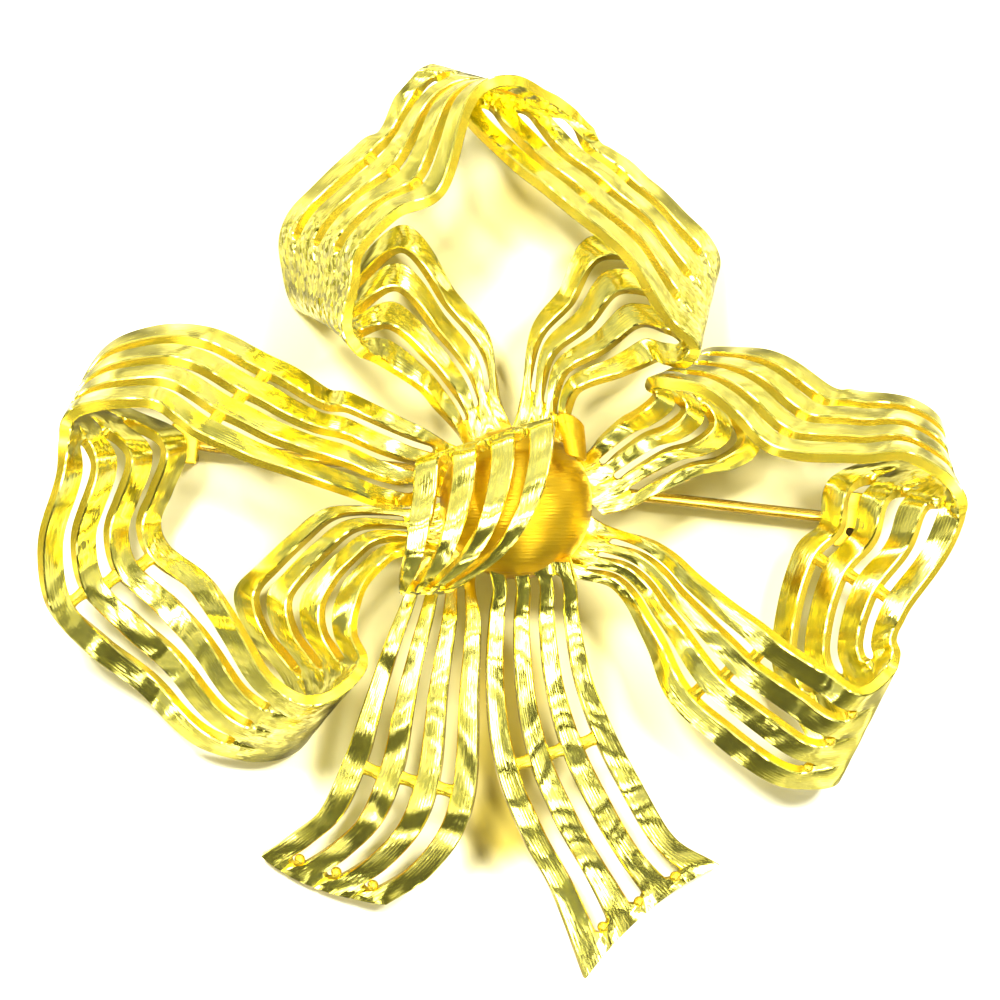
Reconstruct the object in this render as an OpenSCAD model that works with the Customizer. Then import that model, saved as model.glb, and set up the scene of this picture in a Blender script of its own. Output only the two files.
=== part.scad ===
// Bow brooch of cast openwork ribbon: three folded loops, two tails and a knot on a domed hub,
// with a hinged pin stem and a catch behind. It lies on its back: Z is up, out of its front, and
// Z = 0 is the surface that it lies on. X runs to the right and Y towards the upper loop.

/* [Bow] */
// Half the side of the square in which the bow is laid out
layout_r = 37.5; // [32:0.5:44]
// Height of the ribbons' upper edges above the surface
rise = 13; // [12:0.25:15]

/* [Ribbon] */
// Width of the ribbon
ribbon_w = 12; // [10.5:0.25:13]
// Thickness of the ribbon
ribbon_t = 0.9; // [0.7:0.05:0.95]
// Width of the slit between two strips
slit_w = 1.3; // [0.9:0.1:1.7]
// Width of the ribbon where it meets the hub
root_w = 4.2; // [3.5:0.1:4.4]
// How far the left tail's end bows out
tail_bow = 1.1; // [0.6:0.1:1.3]
// How far the right tail's end is hollowed
tail_hollow = 0.9; // [0.5:0.1:1.1]

/* [Hub and knot] */
// Diameter of the hub
hub_d = 11.4; // [10:0.1:12]
// Height of the hub's dome above its rim
dome_h = 4.6; // [3:0.1:5.5]
// Gap between the hub's rim and a ribbon's root
root_gap = 0.45; // [0.4:0.05:0.6]

/* [Pin and catch] */
// Diameter of the pin stem
stem_d = 0.9; // [0.8:0.05:1]
// Height of the stem's axis above the surface
stem_z = 1.5; // [1.4:0.05:1.6]
// Diameter of the rivet that the stem turns on
rivet_d = 0.8; // [0.7:0.05:0.9]
// Height of the hinge block
block_h = 3.25; // [3.15:0.05:3.3]
// Height of the catch
catch_h = 2.8; // [2.7:0.05:2.9]

/* [Hidden] */

gold = [0.93, 0.78, 0.30];
strips = 4;
bands = 2 * strips - 1;
steps = 4;

hub_x = 0.032 * layout_r;
hub_y = -0.006 * layout_r;
root_z = 0.46 * rise;
rim_h = 2.4;

// The hinge's axis, the catch that the stem runs to, and the sizes of the small metal behind.
hinge = [0.707, -0.040] * layout_r;
catch = [-0.636, 0.114] * layout_r;
reach = norm(catch - hinge);
stem_way = atan2(catch[1] - hinge[1], catch[0] - hinge[0]);
curl_t = 0.6;
play = 0.05;
side_gap = 0.15;
eye_w = 1.3;
eye_d = rivet_d + 1.2;
block_l = 2.2;
block_w = eye_w + 2.9;
tip_l = 2;
tip_d = 0.3;
catch_l = 2.2;
catch_slot = stem_d + 0.5;
catch_w = catch_slot + 1.6;

// A section of a ribbon: the place of its middle (x and y as shares of layout_r, z as a share of
// rise), the way across it from edge 1 to edge 2 as a compass angle, the dip of edge 2 below
// edge 1, and its width as a share of ribbon_w.
TOP_LOOP = [
    // x,     y,     z,    way,  dip, width
    [ 0.112, 0.284, 0.42,  -57, -34, 0.60],
    [ 0.184, 0.336, 0.39,  -56, -32, 0.78],
    [ 0.246, 0.402, 0.40,  -62, -26, 0.98],
    [ 0.332, 0.387, 0.46,  -86, -40, 1.00],
    [ 0.379, 0.361, 0.48,  -97, -56, 1.00],
    [ 0.406, 0.385, 0.51, -106, -57, 1.00],
    [ 0.373, 0.442, 0.55, -116, -53, 1.00],
    [ 0.320, 0.506, 0.56, -119, -58, 1.00],
    [ 0.280, 0.556, 0.56, -127, -62, 1.00],
    [ 0.212, 0.612, 0.55, -146, -59, 1.00],
    [ 0.120, 0.686, 0.54, -166, -50, 0.92],
    [ 0.062, 0.748, 0.43, -182, -12, 0.80],
    [ 0.006, 0.818, 0.37, -197,  14, 0.90],
    [-0.033, 0.828, 0.57, -192,  22, 0.90],
    [-0.086, 0.820, 0.62, -176,  43, 1.00],
    [-0.140, 0.770, 0.61, -165,  54, 1.00],
    [-0.200, 0.656, 0.60, -211,  51, 0.98],
    [-0.288, 0.596, 0.58, -198,  55, 1.00],
    [-0.355, 0.516, 0.52, -200,  58, 1.00],
    [-0.362, 0.460, 0.50, -201,  60, 1.00],
    [-0.350, 0.367, 0.45, -208,  69, 0.98],
    [-0.303, 0.358, 0.44, -246,  64, 0.98],
    [-0.208, 0.408, 0.42, -276,  31, 1.05],
    [-0.130, 0.324, 0.41, -286,  34, 0.81],
    [-0.072, 0.254, 0.42, -302,  28, 0.64]
];
LEFT_LOOP = [
    [-0.188, 0.068, 0.59,  82,  21, 0.57],
    [-0.298, 0.110, 0.62,  89,  39, 0.79],
    [-0.378, 0.134, 0.62,  65,  49, 0.86],
    [-0.508, 0.194, 0.62,  44,  48, 1.00],
    [-0.628, 0.260, 0.59,  62,  56, 1.00],
    [-0.730, 0.266, 0.57,  75,  61, 1.00],
    [-0.812, 0.232, 0.54,  81,  70, 1.00],
    [-0.848, 0.178, 0.50,  73,  80, 0.97],
    [-0.806, 0.144, 0.52,  30,  66, 1.00],
    [-0.754, 0.082, 0.60,  18,  40, 1.00],
    [-0.780, -0.004, 0.55, 13,  41, 1.00],
    [-0.800, -0.076, 0.48, 17,  40, 0.95],
    [-0.785, -0.152, 0.42, 27,  24, 0.90],
    [-0.704, -0.230, 0.37, 31,  -9, 0.92],
    [-0.638, -0.294, 0.39, 39, -31, 0.92],
    [-0.580, -0.366, 0.45, 42, -43, 1.00],
    [-0.522, -0.427, 0.49, 43, -51, 1.00],
    [-0.440, -0.457, 0.48, 46, -57, 1.00],
    [-0.356, -0.430, 0.46, 50, -61, 0.96],
    [-0.346, -0.350, 0.45, 22, -57, 0.92],
    [-0.395, -0.266, 0.43, 1, -44, 0.93],
    [-0.408, -0.202, 0.42, -7, -38, 0.98],
    [-0.378, -0.154, 0.43, -12, -35, 0.83],
    [-0.328, -0.104, 0.45, -19, -31, 0.70],
    [-0.272, -0.062, 0.48, -30, -25, 0.60]
];
RIGHT_LOOP = [
    [ 0.266, -0.128, 0.50, -135,  33, 0.46],
    [ 0.344, -0.210, 0.52, -139,  48, 0.71],
    [ 0.444, -0.334, 0.57, -147,  42, 1.00],
    [ 0.554, -0.422, 0.58, -139,  38, 1.00],
    [ 0.646, -0.474, 0.56, -127,  40, 1.00],
    [ 0.722, -0.452, 0.47, -114,  40, 0.98],
    [ 0.700, -0.380, 0.44, -138,  44, 1.00],
    [ 0.668, -0.296, 0.45, -168,  43, 1.00],
    [ 0.700, -0.166, 0.49, -209,  42, 1.00],
    [ 0.764, -0.078, 0.54, -196,  41, 1.00],
    [ 0.788, -0.006, 0.60, -199,  35, 1.00],
    [ 0.842, 0.028, 0.53, -216,  57, 1.00],
    [ 0.885, 0.055, 0.51, -246,  72, 1.00],
    [ 0.883, 0.096, 0.53, -276,  71, 1.00],
    [ 0.820, 0.138, 0.55, -280,  69, 1.00],
    [ 0.712, 0.148, 0.55, -281,  65, 0.98],
    [ 0.608, 0.156, 0.57, -316,  55, 0.98],
    [ 0.526, 0.220, 0.56, -316,  58, 0.96],
    [ 0.442, 0.258, 0.53, -319,  65, 0.94],
    [ 0.360, 0.260, 0.48, -333,  66, 0.86],
    [0.374, 0.222, 0.44, -362, 54, 0.85],
    [0.412, 0.158, 0.42, -384, 38, 0.92],
    [0.374, 0.122, 0.42, -388, 30, 0.84],
    [0.322, 0.104, 0.43, -391, 25, 0.68],
    [0.266, 0.073, 0.45, -398, 19, 0.55]
];
LEFT_TAIL = [
    [-0.126, -0.246, 0.49,   0,  -5, 0.55],
    [-0.152, -0.370, 0.46,   4,  -8, 0.70],
    [-0.180, -0.550, 0.38, -14, -10, 0.86],
    [-0.220, -0.650, 0.30, -10, -10, 0.92],
    [-0.280, -0.714, 0.21, -15, -10, 0.94],
    [-0.354, -0.764, 0.08, -21, -5, 0.86]
];
RIGHT_TAIL = [
    [ 0.068, -0.230, 0.47,   0,  5, 0.56],
    [ 0.076, -0.352, 0.46,   4,  8, 0.66],
    [ 0.106, -0.490, 0.40,  17, 10, 0.78],
    [ 0.170, -0.634, 0.31,  20, 10, 0.84],
    [ 0.226, -0.730, 0.22,  22, 10, 0.86],
    [ 0.306, -0.850, 0.112, 40, 8, 1.12]
];
// The knot's band and curl, with x and y as shares of ribbon_w from the hub's centre.
KNOT = [
    [-0.188,  0.372, 0.83, 17, 0, 0.88],
    [-0.194,  0.322, 0.90, 18, 0, 0.90],
    [-0.212,  0.125, 0.98, 18, 0, 0.90],
    [-0.263, -0.088, 1.05, 14, 0, 0.84],
    [-0.369, -0.319, 0.99, 8, 0, 0.66],
    [-0.525, -0.481, 0.84, 2, 0, 0.40],
    [-0.588, -0.531, 0.66, 0, 0, 0.28]
];
CURL = [
    [ 0.288,  0.428, 0.846, -78, 0, 0.25],
    [ 0.325,  0.422, 0.860, -79, 0, 0.28],
    [ 0.359,  0.406, 0.855, -81, 0, 0.28],
    [ 0.387,  0.387, 0.832, -84, 0, 0.26],
    [ 0.406,  0.372, 0.795, -86, 0, 0.22]
];

// A root at the hub's rim: the compass angle of its place, the turn from that angle to the way
// across the ribbon, and how much higher than the rim's middle it is. The ribbon's end is straight,
// and its nearest point is root_gap from the rim.
function root_reach(turn) = let (c = abs(sin(turn)), s = sqrt(1 - c * c), h = root_w / 2,
        r = hub_d / 2 + root_gap)
    r * s < h * c ? r / c : h * s + sqrt(r * r - h * h * c * c);
function root_row(angle, turn, lift = 0) = [
    (hub_x + root_reach(turn) * cos(angle)) / layout_r,
    (hub_y + root_reach(turn) * sin(angle)) / layout_r,
    (root_z + lift) / rise,
    angle + turn,
    0,
    root_w / ribbon_w
];

function on_hub(rows) = [for (row = rows) [
    (hub_x + row[0] * ribbon_w) / layout_r,
    (hub_y + row[1] * ribbon_w) / layout_r,
    row[2], row[3], row[4], row[5]
]];

function unit(v) = v / max(norm(v), 1e-9);
function middle(row) = [row[0] * layout_r, row[1] * layout_r, row[2] * rise];
function across(row) = row[5] * ribbon_w / 2
    * [cos(row[3]) * cos(row[4]), sin(row[3]) * cos(row[4]), -sin(row[4])];
function edge(rows, side) = [for (row = rows) middle(row) + side * across(row)];

// The curve through points p at their knots k, a cubic between each two, t from 0 to 1.
function slope(p, k, i) = let (a = max(i - 1, 0), b = min(i + 1, len(p) - 1))
    a == i ? (p[b] - p[i]) / (k[b] - k[i])
    : b == i ? (p[i] - p[a]) / (k[i] - k[a])
    : (p[i] - p[a]) / (k[i] - k[a]) - (p[b] - p[a]) / (k[b] - k[a]) + (p[b] - p[i]) / (k[b] - k[i]);
function curve(p, k, i, t) = let (w = k[i + 1] - k[i], a = slope(p, k, i) * w, b = slope(p, k, i + 1) * w)
    (2 * pow(t, 3) - 3 * pow(t, 2) + 1) * p[i] + (pow(t, 3) - 2 * pow(t, 2) + t) * a
    + (3 * pow(t, 2) - 2 * pow(t, 3)) * p[i + 1] + (pow(t, 3) - pow(t, 2)) * b;
function knots(p, q) = [for (i = 0, s = 0; i < len(p);
    s = s + (i < len(p) - 1 ? sqrt(norm(p[i + 1] - p[i]) + norm(q[i + 1] - q[i])) : 0), i = i + 1) s];
function stations(p, k) = [for (i = [0:len(p) - 2]) for (j = [0:steps - 1]) curve(p, k, i, j / steps),
    p[len(p) - 1]];

// Lines across the ribbon, as shares of its width: the two edges of each strip.
slit_share = slit_w / ribbon_w;
strip_share = (1 - (strips - 1) * slit_share) / strips;
LINES = [for (j = [0:bands]) floor((j + 1) / 2) * strip_share + floor(j / 2) * slit_share];

// Whether the cell between stations i and i + 1 in band j is metal: strips always are, and slits
// only in the plain stretches and at the bridges, which are both given in rows of the table.
function metal(i, j, plain, bridges) = let (u = (i + 0.5) / steps)
    j % 2 == 0
    || len([for (p = plain) if (u > p[0] && u < p[1]) 1]) > 0
    || len([for (b = bridges) if (abs(u - b) < 0.5 / steps) 1]) > 0;

// The ribbon as one closed solid on a grid of stations and lines. Its free end is bowed outwards
// by bow, or inwards where that is less than 0.
module ribbon(rows, plain, bridges = [], bow = 0, thick = ribbon_t) {
    p = edge(rows, -1);
    q = edge(rows, 1);
    k = knots(p, q);
    e = stations(p, k);
    f = stations(q, k);
    n = len(e);
    ahead = unit(e[n - 1] - e[n - 2] + f[n - 1] - f[n - 2]);
    grid = [for (i = [0:n - 1]) [for (s = LINES)
        e[i] + s * (f[i] - e[i]) + (i == n - 1 ? 4 * s * (1 - s) * bow * ahead : [0, 0, 0])]];
    points = [for (i = [0:n - 1]) for (j = [0:bands]) let (
        along = grid[min(i + 1, n - 1)][j] - grid[max(i - 1, 0)][j],
        out = unit(cross(along, f[i] - e[i])) * thick / 2)
        for (side = [1, -1]) grid[i][j] + side * out];
    function id(i, j, side) = (i * (bands + 1) + j) * 2 + side;
    function full(i, j) = i >= 0 && i < n - 1 && j >= 0 && j < bands && metal(i, j, plain, bridges);
    function quad(a, b, c, d) = [[a, b, c], [a, c, d]];
    faces = [
        for (i = [0:n - 2]) for (j = [0:bands - 1]) if (full(i, j)) each concat(
            quad(id(i, j, 0), id(i, j + 1, 0), id(i + 1, j + 1, 0), id(i + 1, j, 0)),
            quad(id(i, j, 1), id(i + 1, j, 1), id(i + 1, j + 1, 1), id(i, j + 1, 1)),
            full(i, j - 1) ? [] : quad(id(i, j, 0), id(i + 1, j, 0), id(i + 1, j, 1), id(i, j, 1)),
            full(i, j + 1) ? [] : quad(id(i, j + 1, 0), id(i, j + 1, 1), id(i + 1, j + 1, 1), id(i + 1, j + 1, 0)),
            full(i - 1, j) ? [] : quad(id(i, j, 0), id(i, j, 1), id(i, j + 1, 1), id(i, j + 1, 0)),
            full(i + 1, j) ? [] : quad(id(i + 1, j, 0), id(i + 1, j + 1, 0), id(i + 1, j + 1, 1), id(i + 1, j, 1))
        )
    ];
    polyhedron(points, faces);
}

module loop_top() {
    color(gold) ribbon(
        concat([root_row(72, -105)], TOP_LOOP, [root_row(113, -427)]),
        [[0, 0.5], [4.6, 7], [12.4, 13.6], [19.2, 22], [25.5, 26]],
        [10.1, 17.1]
    );
}

module loop_left() {
    color(gold) ribbon(
        concat([root_row(156, -80)], LEFT_LOOP, [root_row(200, -258, 0.6)]),
        [[0, 0.5], [7.6, 9.2], [17.4, 20.2], [25.5, 26]],
        [4.1, 13.1]
    );
}

module loop_right() {
    color(gold) ribbon(
        concat([root_row(-34, -96)], RIGHT_LOOP, [root_row(13, -419)]),
        [[0, 0.5], [5.2, 7.4], [11.4, 13.4], [19.6, 21.8], [25.5, 26]],
        [3.1, 9.1, 17.1]
    );
}

module tail_left() {
    color(gold) ribbon(concat([root_row(-136, 120, -0.6)], LEFT_TAIL), [[0, 0.5], [5.75, 6]], [3.1], tail_bow);
}

module tail_right() {
    color(gold) ribbon(concat([root_row(-75, 75)], RIGHT_TAIL), [[0, 0.5], [5.75, 6]], [3.1], -tail_hollow);
}

module knot_band() {
    color(gold) ribbon(on_hub(KNOT), [[0, 0.6], [5.4, 6]]);
}

module knot_curl() {
    color(gold) ribbon(on_hub(CURL), [[0, 4]], thick = curl_t);
}

module hub() {
    color(gold) translate([hub_x, hub_y, root_z - rim_h / 2])
        rotate_extrude($fn = 64) hull() {
            square([hub_d / 2, rim_h]);
            translate([0, rim_h]) intersection() {
                scale([1, dome_h / (hub_d / 2)]) circle(d = hub_d, $fn = 64);
                square(hub_d);
            }
        }
}

// The stem's own frame: X runs along it from the hinge's axis, and Y along that axis.
module on_stem(along = 0) {
    translate([hinge[0], hinge[1], 0]) rotate([0, 0, stem_way]) translate([along, 0, 0]) children();
}

module barrel(d, w) {
    rotate([90, 0, 0]) cylinder(h = w, d = d, center = true, $fn = 48);
}

module hinge_block() {
    color(gold) on_stem() union() {
        difference() {
            translate([-block_l / 2, -block_w / 2, 0]) cube([block_l, block_w, block_h]);
            translate([-block_l / 2 - 1, -eye_w / 2 - side_gap, -1])
                cube([block_l + 2, eye_w + 2 * side_gap, stem_z + eye_d / 2 + side_gap + 1]);
        }
        translate([0, 0, stem_z]) barrel(rivet_d, eye_w + 2 * side_gap + 1);
    }
}

module pin_stem() {
    color(gold) on_stem() difference() {
        translate([0, 0, stem_z]) union() {
            barrel(eye_d, eye_w);
            rotate([0, 90, 0]) cylinder(h = reach - tip_l, d = stem_d, $fn = 32);
            translate([reach - tip_l, 0, 0]) rotate([0, 90, 0])
                cylinder(h = 2 * tip_l, d1 = stem_d, d2 = tip_d, $fn = 32);
        }
        translate([0, 0, stem_z]) barrel(rivet_d + 2 * play, eye_w + 1);
    }
}

module catch_hook() {
    color(gold) on_stem(reach) difference() {
        translate([-catch_l / 2, -catch_w / 2, 0]) cube([catch_l, catch_w, catch_h]);
        translate([-catch_l / 2 - 1, -catch_slot / 2, -1])
            cube([catch_l + 2, catch_slot, stem_z + stem_d / 2 + side_gap + 1]);
    }
}

hub();
loop_top();
loop_left();
loop_right();
tail_left();
tail_right();
knot_band();
knot_curl();
hinge_block();
pin_stem();
catch_hook();
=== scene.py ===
"""Looks of the openwork ribbon bow: engraved gold ribbons, knot, hub, pin and catch on a pale floor."""

import math

import bmesh
import bpy
import numpy as np
from bpy.props import FloatProperty, FloatVectorProperty, IntProperty, PointerProperty
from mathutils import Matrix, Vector


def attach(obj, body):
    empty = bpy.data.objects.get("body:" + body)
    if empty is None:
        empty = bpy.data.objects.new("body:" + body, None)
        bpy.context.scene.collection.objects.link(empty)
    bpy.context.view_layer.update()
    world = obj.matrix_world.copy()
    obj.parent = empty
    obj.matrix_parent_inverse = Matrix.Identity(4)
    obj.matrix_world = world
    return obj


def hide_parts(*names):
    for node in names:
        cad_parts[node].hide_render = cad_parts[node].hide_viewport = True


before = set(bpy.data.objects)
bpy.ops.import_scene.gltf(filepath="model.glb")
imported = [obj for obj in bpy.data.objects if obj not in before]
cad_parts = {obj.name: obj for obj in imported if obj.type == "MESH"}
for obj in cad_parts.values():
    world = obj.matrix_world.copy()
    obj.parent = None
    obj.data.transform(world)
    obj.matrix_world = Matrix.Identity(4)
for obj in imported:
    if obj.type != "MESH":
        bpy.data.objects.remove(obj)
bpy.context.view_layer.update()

bl_info = {
    "name": "Openwork ribbon bow",
    "version": (1, 0, 0),
    "blender": (4, 5, 0),
    "location": "View3D > Sidebar > Bow",
    "description": "Engraved openwork ribbon bow with its knot, hub, pin and catch",
    "category": "Object",
}

MM = 0.001
STRIPS = 4
SLITS = STRIPS - 1

# Sizes are in millimetres. The layout: half the side of its square, the height of the ribbons, and
# the widths of a ribbon, of its root and of a slit. Then the hub with its rim, its dome and the gap
# that the roots keep from it.
LAYOUT = 37.5
RISE = 13.0
RIBBON_W = 12.0
ROOT_W = 4.2
SLIT_W = 1.3
HUB_R = 5.7
HUB_X = 0.032 * LAYOUT
HUB_Y = -0.006 * LAYOUT
ROOT_Z = 0.46 * RISE
RIM_H = 2.4
RIM_ROUND = 0.3
DOME_H = 4.6
ROOT_GAP = 0.45

# The pin: where its hinge and its catch lie, how high its axis is, and its stem, eye and rivet.
HINGE = np.array([0.707, -0.040]) * LAYOUT
CATCH = np.array([-0.636, 0.114]) * LAYOUT
STEM_Z = 1.5
STEM_R = 0.45
EYE_R = 1.0
EYE_W = 1.3
RIVET_R = 0.4
EYE_PLAY = 0.05
EYE_BEVEL = 0.12
BLOCK_H = 3.25
PLAIN_BEVEL = 0.22
# The stem starts inside its eye, comes out of it, and tapers from TAPER before the catch to TAPER
# past it.
STEM_START = 0.55
STEM_OUT = 1.2
TAPER = 2.0
POINT_R = 0.15
# The hollow in the block's top, drawn as a thin disc of painted shade: its profile, its place beside the
# hinge and its depth.
HOLLOW = [[0, 0], [0.3, 0], [0.36, 0.03], [0.3, 0.06], [0, 0.06]]
HOLLOW_ASIDE = 0.9
HOLLOW_SINK = 0.04

# How far a ribbon's root runs on under the knot, how far a bar's ends reach into the strips, and how
# far bars and beads are sunk.
ROOT_TUCK = 2.2
BAR_REACH = 0.16
BAR_SINK = 0.14
BEAD_SINK = 0.16
# Angles in degrees: past the first an edge is shaded sharp, past the second it gets a bevel, and
# below the third two faces are one.
SHARP_ANGLE = 35
BEVEL_ANGLE = 40
FLAT_ANGLE = 1

# The slits' ends: the least half width, the share of it where the round end starts, and the
# groove's shares where it ends and where it meets the slit.
SLIT_LEAST = 0.12
ROUND_START = 0.30
GROOVE_END = 0.06
GROOVE_START = 0.30
# A strip's columns with the slit's one after them, and the crown's share at a third of its width.
COLUMNS = 7
CROWN_SHARE = 0.89
# The length over which a hammered stretch fades in.
HAMMER_FADE = 2.0

# The hand-bent waves: the lengths of the long and the short one, how far each one's phase drifts
# across the ribbon, and the short one's start and share.
LONG_WAVE = 6.6
SHORT_WAVE = 3.7
LONG_DRIFT = 1.3
SHORT_DRIFT = -2.2
SHORT_START = 1.1
SHORT_SHARE = 0.3

# Sections of the ribbons: the middle as shares of LAYOUT and RISE, the way across in degrees from
# the x axis, the dip of edge 2 below edge 1, and the width as a share of RIBBON_W.
TOP_LOOP = [
    [0.112, 0.284, 0.42, -57, -34, 0.60],
    [0.184, 0.336, 0.39, -56, -32, 0.78],
    [0.246, 0.402, 0.40, -62, -26, 0.98],
    [0.332, 0.387, 0.46, -86, -40, 1.00],
    [0.379, 0.361, 0.48, -97, -56, 1.00],
    [0.406, 0.385, 0.51, -106, -57, 1.00],
    [0.373, 0.442, 0.55, -116, -53, 1.00],
    [0.320, 0.506, 0.56, -119, -58, 1.00],
    [0.280, 0.556, 0.56, -127, -62, 1.00],
    [0.212, 0.612, 0.55, -146, -59, 1.00],
    [0.120, 0.686, 0.54, -166, -50, 0.92],
    [0.062, 0.748, 0.43, -182, -12, 0.80],
    [0.006, 0.818, 0.37, -197, 14, 0.90],
    [-0.033, 0.828, 0.57, -192, 22, 0.90],
    [-0.086, 0.820, 0.62, -176, 43, 1.00],
    [-0.140, 0.770, 0.61, -165, 54, 1.00],
    [-0.200, 0.656, 0.60, -211, 51, 0.98],
    [-0.288, 0.596, 0.58, -198, 55, 1.00],
    [-0.355, 0.516, 0.52, -200, 58, 1.00],
    [-0.362, 0.460, 0.50, -201, 60, 1.00],
    [-0.350, 0.367, 0.45, -208, 69, 0.98],
    [-0.303, 0.358, 0.44, -246, 64, 0.98],
    [-0.208, 0.408, 0.42, -276, 31, 1.05],
    [-0.130, 0.324, 0.41, -286, 34, 0.81],
    [-0.072, 0.254, 0.42, -302, 28, 0.64],
]
LEFT_LOOP = [
    [-0.188, 0.068, 0.59, 82, 21, 0.57],
    [-0.298, 0.110, 0.62, 89, 39, 0.79],
    [-0.378, 0.134, 0.62, 65, 49, 0.86],
    [-0.508, 0.194, 0.62, 44, 48, 1.00],
    [-0.628, 0.260, 0.59, 62, 56, 1.00],
    [-0.730, 0.266, 0.57, 75, 61, 1.00],
    [-0.812, 0.232, 0.54, 81, 70, 1.00],
    [-0.848, 0.178, 0.50, 73, 80, 0.97],
    [-0.806, 0.144, 0.52, 30, 66, 1.00],
    [-0.754, 0.082, 0.60, 18, 40, 1.00],
    [-0.780, -0.004, 0.55, 13, 41, 1.00],
    [-0.800, -0.076, 0.48, 17, 40, 0.95],
    [-0.785, -0.152, 0.42, 27, 24, 0.90],
    [-0.704, -0.230, 0.37, 31, -9, 0.92],
    [-0.638, -0.294, 0.39, 39, -31, 0.92],
    [-0.580, -0.366, 0.45, 42, -43, 1.00],
    [-0.522, -0.427, 0.49, 43, -51, 1.00],
    [-0.440, -0.457, 0.48, 46, -57, 1.00],
    [-0.356, -0.430, 0.46, 50, -61, 0.96],
    [-0.346, -0.350, 0.45, 22, -57, 0.92],
    [-0.395, -0.266, 0.43, 1, -44, 0.93],
    [-0.408, -0.202, 0.42, -7, -38, 0.98],
    [-0.378, -0.154, 0.43, -12, -35, 0.83],
    [-0.328, -0.104, 0.45, -19, -31, 0.70],
    [-0.272, -0.062, 0.48, -30, -25, 0.60],
]
RIGHT_LOOP = [
    [0.266, -0.128, 0.50, -135, 33, 0.46],
    [0.344, -0.210, 0.52, -139, 48, 0.71],
    [0.444, -0.334, 0.57, -147, 42, 1.00],
    [0.554, -0.422, 0.58, -139, 38, 1.00],
    [0.646, -0.474, 0.56, -127, 40, 1.00],
    [0.722, -0.452, 0.47, -114, 40, 0.98],
    [0.700, -0.380, 0.44, -138, 44, 1.00],
    [0.668, -0.296, 0.45, -168, 43, 1.00],
    [0.700, -0.166, 0.49, -209, 42, 1.00],
    [0.764, -0.078, 0.54, -196, 41, 1.00],
    [0.788, -0.006, 0.60, -199, 35, 1.00],
    [0.842, 0.028, 0.53, -216, 57, 1.00],
    [0.885, 0.055, 0.51, -246, 72, 1.00],
    [0.883, 0.096, 0.53, -276, 71, 1.00],
    [0.820, 0.138, 0.55, -280, 69, 1.00],
    [0.712, 0.148, 0.55, -281, 65, 0.98],
    [0.608, 0.156, 0.57, -316, 55, 0.98],
    [0.526, 0.220, 0.56, -316, 58, 0.96],
    [0.442, 0.258, 0.53, -319, 65, 0.94],
    [0.360, 0.260, 0.48, -333, 66, 0.86],
    [0.374, 0.222, 0.44, -362, 54, 0.85],
    [0.412, 0.158, 0.42, -384, 38, 0.92],
    [0.374, 0.122, 0.42, -388, 30, 0.84],
    [0.322, 0.104, 0.43, -391, 25, 0.68],
    [0.266, 0.073, 0.45, -398, 19, 0.55],
]
LEFT_TAIL = [
    [-0.126, -0.246, 0.49, 0, -5, 0.55],
    [-0.152, -0.370, 0.46, 4, -8, 0.70],
    [-0.180, -0.550, 0.38, -14, -10, 0.86],
    [-0.220, -0.650, 0.30, -10, -10, 0.92],
    [-0.280, -0.714, 0.21, -15, -10, 0.94],
    [-0.354, -0.764, 0.08, -21, -5, 0.86],
]
RIGHT_TAIL = [
    [0.068, -0.230, 0.47, 0, 5, 0.56],
    [0.076, -0.352, 0.46, 4, 8, 0.66],
    [0.106, -0.490, 0.40, 17, 10, 0.78],
    [0.170, -0.634, 0.31, 20, 10, 0.84],
    [0.226, -0.730, 0.22, 22, 10, 0.86],
    [0.306, -0.850, 0.112, 40, 8, 1.12],
]
# The knot and its curl, with x and y as shares of RIBBON_W from the hub's centre.
KNOT = [
    [-0.188, 0.372, 0.83, 17, 0, 0.88],
    [-0.194, 0.322, 0.90, 18, 0, 0.90],
    [-0.212, 0.125, 0.98, 18, 0, 0.90],
    [-0.263, -0.088, 1.05, 14, 0, 0.84],
    [-0.369, -0.319, 0.99, 8, 0, 0.66],
    [-0.525, -0.481, 0.84, 2, 0, 0.40],
    [-0.588, -0.531, 0.66, 0, 0, 0.28],
]
KNOT_SLITS = [(0.45, 5.5)]
CURL = [
    [0.288, 0.428, 0.846, -78, 0, 0.25],
    [0.325, 0.422, 0.860, -79, 0, 0.28],
    [0.359, 0.406, 0.855, -81, 0, 0.28],
    [0.387, 0.387, 0.832, -84, 0, 0.26],
    [0.406, 0.372, 0.795, -86, 0, 0.22],
]

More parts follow.
